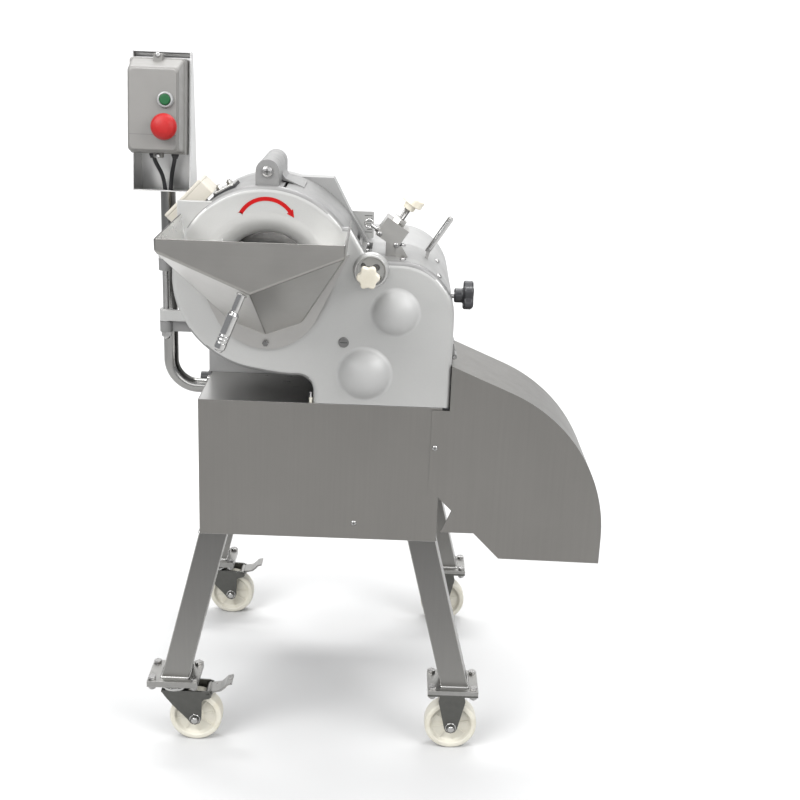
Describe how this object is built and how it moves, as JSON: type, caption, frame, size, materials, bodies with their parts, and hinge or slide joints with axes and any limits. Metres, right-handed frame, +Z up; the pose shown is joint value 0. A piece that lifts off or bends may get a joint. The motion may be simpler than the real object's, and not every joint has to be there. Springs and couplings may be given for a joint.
{
  "type": "industrial vegetable dicer",
  "caption": "Free-standing dicing machine on casters: hinged feed door with hopper, paddle drum, belt-driven knife spindles, hinged hood, curved discharge chute and push-button stand.",
  "frame": {"origin": "centre of the bounding box on the floor, under the cabinet", "axes": "+Z up; -Y towards the operator, the hopper side; +X towards the discharge chute"},
  "size_m": [0.8476, 0.82, 1.2692],
  "materials": {
    "stainless_sheet": "fine brushed",
    "machined_steel": "machined",
    "silver_paint": "satin silver-grey paint",
    "cream_nylon": "smooth",
    "cream_plastic": "smooth",
    "grey_plastic": "fine texture",
    "chrome_bar": "polished",
    "black_plastic": "satin",
    "green_plastic": "gloss",
    "red_plastic": "gloss",
    "black_rubber": "matte",
    "motor_paint": "satin",
    "cast_iron": "machined"
  },
  "bodies": {
    "machine_frame": {"base_cabinet": "stainless_sheet", "cabinet_floor": "stainless_sheet", "rear_panel": "stainless_sheet", "legs": "stainless_sheet", "foot_plates": "stainless_sheet", "caster_bolts": "machined_steel", "swivel_plates": "stainless_sheet", "fixed_forks": "stainless_sheet", "discharge_chute": "stainless_sheet", "discharge_slide": "stainless_sheet", "rear_housing": "silver_paint", "rear_cover": "silver_paint", "gearbox_plate": "machined_steel", "shaft_bearings": "machined_steel", "drum_shell": "silver_paint", "hinge_pins": "machined_steel", "slicing_knife": "machined_steel", "motor": "motor_paint", "drive_belts": "black_rubber", "thickness_scale": "machined_steel", "interlock_switch": "cream_plastic", "interlock_plate": "machined_steel", "control_pole": "stainless_sheet", "control_bracket": "stainless_sheet", "control_base": "grey_plastic", "control_lid": "grey_plastic", "control_cables": "black_rubber", "supply_gland": "black_plastic", "cover_screws": "machined_steel"},
    "front_door": {"front_cover": "silver_paint", "hopper": "stainless_sheet", "hopper_flange": "stainless_sheet", "hopper_handle": "chrome_bar", "door_bolts": "machined_steel"},
    "door_star_knob": {"lock_knob": "cream_plastic"},
    "impeller_rotor": {"impeller": "machined_steel", "main_shaft": "machined_steel"},
    "feed_spindle": {"feed_roller": "machined_steel"},
    "disc_spindle": {"disc_knives": "machined_steel"},
    "crosscut_spindle": {"crosscut_rotor": "machined_steel", "crosscut_drive": "machined_steel"},
    "motor_rotor": {"motor_pulley": "cast_iron"},
    "gate": {"slice_gate": "silver_paint"},
    "side_hood": {"hood": "stainless_sheet", "hood_screws": "machined_steel", "hood_lever": "chrome_bar", "clamp_block": "stainless_sheet"},
    "hood_star_knob": {"hood_knob": "black_plastic"},
    "clamp_star_knob": {"clamp_knob": "cream_plastic"},
    "pull_pin": {"clamp_pin": "machined_steel"},
    "start_push": {"start_button": "green_plastic"},
    "stop_push": {"stop_button": "red_plastic"},
    "front_left_swivel": {"front_left_fork": "stainless_sheet"},
    "front_left_roller": {"front_left_wheel": "cream_nylon"},
    "front_left_pedal": {"front_left_brake": "stainless_sheet"},
    "rear_left_swivel": {"rear_left_fork": "stainless_sheet"},
    "rear_left_roller": {"rear_left_wheel": "cream_nylon"},
    "rear_left_pedal": {"rear_left_brake": "stainless_sheet"},
    "front_right_roller": {"front_right_wheel": "cream_nylon"},
    "rear_right_roller": {"rear_right_wheel": "cream_nylon"}
  },
  "joints": [
    {"name": "door_swing", "type": "hinge", "parent": "machine_frame", "child": "front_door", "pos_m": [-0.35285, -0.161, 0.88], "axis": [0, 0, -1], "range_deg": [0, 110]},
    {"name": "door_knob_turn", "type": "hinge", "parent": "front_door", "child": "door_star_knob", "pos_m": [-0.00835, -0.215, 0.93], "axis": [0, -1, 0], "continuous": true},
    {"name": "impeller_spin", "type": "hinge", "parent": "machine_frame", "child": "impeller_rotor", "pos_m": [-0.18085, -0.025, 0.908], "axis": [0, 1, 0], "continuous": true},
    {"name": "motor_spin", "type": "hinge", "parent": "machine_frame", "child": "motor_rotor", "pos_m": [-0.09785, 0.125, 0.545], "axis": [0, 1, 0], "continuous": true},
    {"name": "crosscut_spin", "type": "hinge", "parent": "machine_frame", "child": "crosscut_spindle", "pos_m": [-0.01085, -0.025, 0.7545], "axis": [0, 1, 0], "continuous": true},
    {"name": "disc_spin", "type": "hinge", "parent": "machine_frame", "child": "disc_spindle", "pos_m": [0.07729, -0.025, 0.78995], "axis": [0, 1, 0], "continuous": true},
    {"name": "feed_spin", "type": "hinge", "parent": "machine_frame", "child": "feed_spindle", "pos_m": [0.03895, -0.025, 0.863], "axis": [0, 1, 0], "continuous": true},
    {"name": "gate_swing", "type": "hinge", "parent": "machine_frame", "child": "gate", "pos_m": [-0.18085, -0.085, 1.09], "axis": [0, -1, 0], "range_deg": [0, 6]},
    {"name": "hood_swing", "type": "hinge", "parent": "machine_frame", "child": "side_hood", "pos_m": [0.14415, -0.085, 0.779], "axis": [0, 1, 0], "range_deg": [0, 75]},
    {"name": "hood_knob_turn", "type": "hinge", "parent": "side_hood", "child": "hood_star_knob", "pos_m": [0.15215, -0.115, 0.882], "axis": [1, 0, 0], "continuous": true},
    {"name": "clamp_knob_turn", "type": "hinge", "parent": "side_hood", "child": "clamp_star_knob", "pos_m": [0.02865, -0.113, 0.99], "axis": [0.5446, 0, 0.8387], "continuous": true},
    {"name": "pin_pull", "type": "slide", "parent": "side_hood", "child": "pull_pin", "axis": [-0.8387, 0, 0.5446], "range_m": [0, 0.008], "stiffness_N_per_m": 500},
    {"name": "start_press", "type": "slide", "parent": "machine_frame", "child": "start_push", "axis": [0, 0.9925, -0.1219], "range_m": [0, 0.003], "stiffness_N_per_m": 800},
    {"name": "stop_press", "type": "slide", "parent": "machine_frame", "child": "stop_push", "axis": [0, 0.9925, -0.1219], "range_m": [0, 0.004]},
    {"name": "front_left_swivel_turn", "type": "hinge", "parent": "machine_frame", "child": "front_left_swivel", "pos_m": [-0.35285, -0.145, 0.115], "axis": [0, 0, 1], "continuous": true},
    {"name": "front_left_wheel_spin", "type": "hinge", "parent": "front_left_swivel", "child": "front_left_roller", "pos_m": [-0.31385, -0.145, 0.05], "axis": [0, 1, 0], "continuous": true},
    {"name": "front_left_brake_press", "type": "hinge", "parent": "front_left_swivel", "child": "front_left_pedal", "pos_m": [-0.28885, -0.145, 0.102], "axis": [0, 1, 0], "range_deg": [0, 12]},
    {"name": "rear_left_swivel_turn", "type": "hinge", "parent": "machine_frame", "child": "rear_left_swivel", "pos_m": [-0.35285, 0.37, 0.115], "axis": [0, 0, 1], "continuous": true},
    {"name": "rear_left_wheel_spin", "type": "hinge", "parent": "rear_left_swivel", "child": "rear_left_roller", "pos_m": [-0.31385, 0.37, 0.05], "axis": [0, 1, 0], "continuous": true},
    {"name": "rear_left_brake_press", "type": "hinge", "parent": "rear_left_swivel", "child": "rear_left_pedal", "pos_m": [-0.28885, 0.37, 0.102], "axis": [0, 1, 0], "range_deg": [0, 12]},
    {"name": "front_right_wheel_spin", "type": "hinge", "parent": "machine_frame", "child": "front_right_roller", "pos_m": [0.17415, -0.145, 0.05], "axis": [0, 1, 0], "continuous": true},
    {"name": "rear_right_wheel_spin", "type": "hinge", "parent": "machine_frame", "child": "rear_right_roller", "pos_m": [0.17415, 0.37, 0.05], "axis": [0, 1, 0], "continuous": true}
  ],
  "couplings": [
    {"joint": "motor_spin", "follows": "impeller_spin", "ratio": 3.026},
    {"joint": "crosscut_spin", "follows": "impeller_spin", "ratio": 2.5054},
    {"joint": "disc_spin", "follows": "impeller_spin", "ratio": -3.8416},
    {"joint": "feed_spin", "follows": "impeller_spin", "ratio": 3.2013}
  ]
}
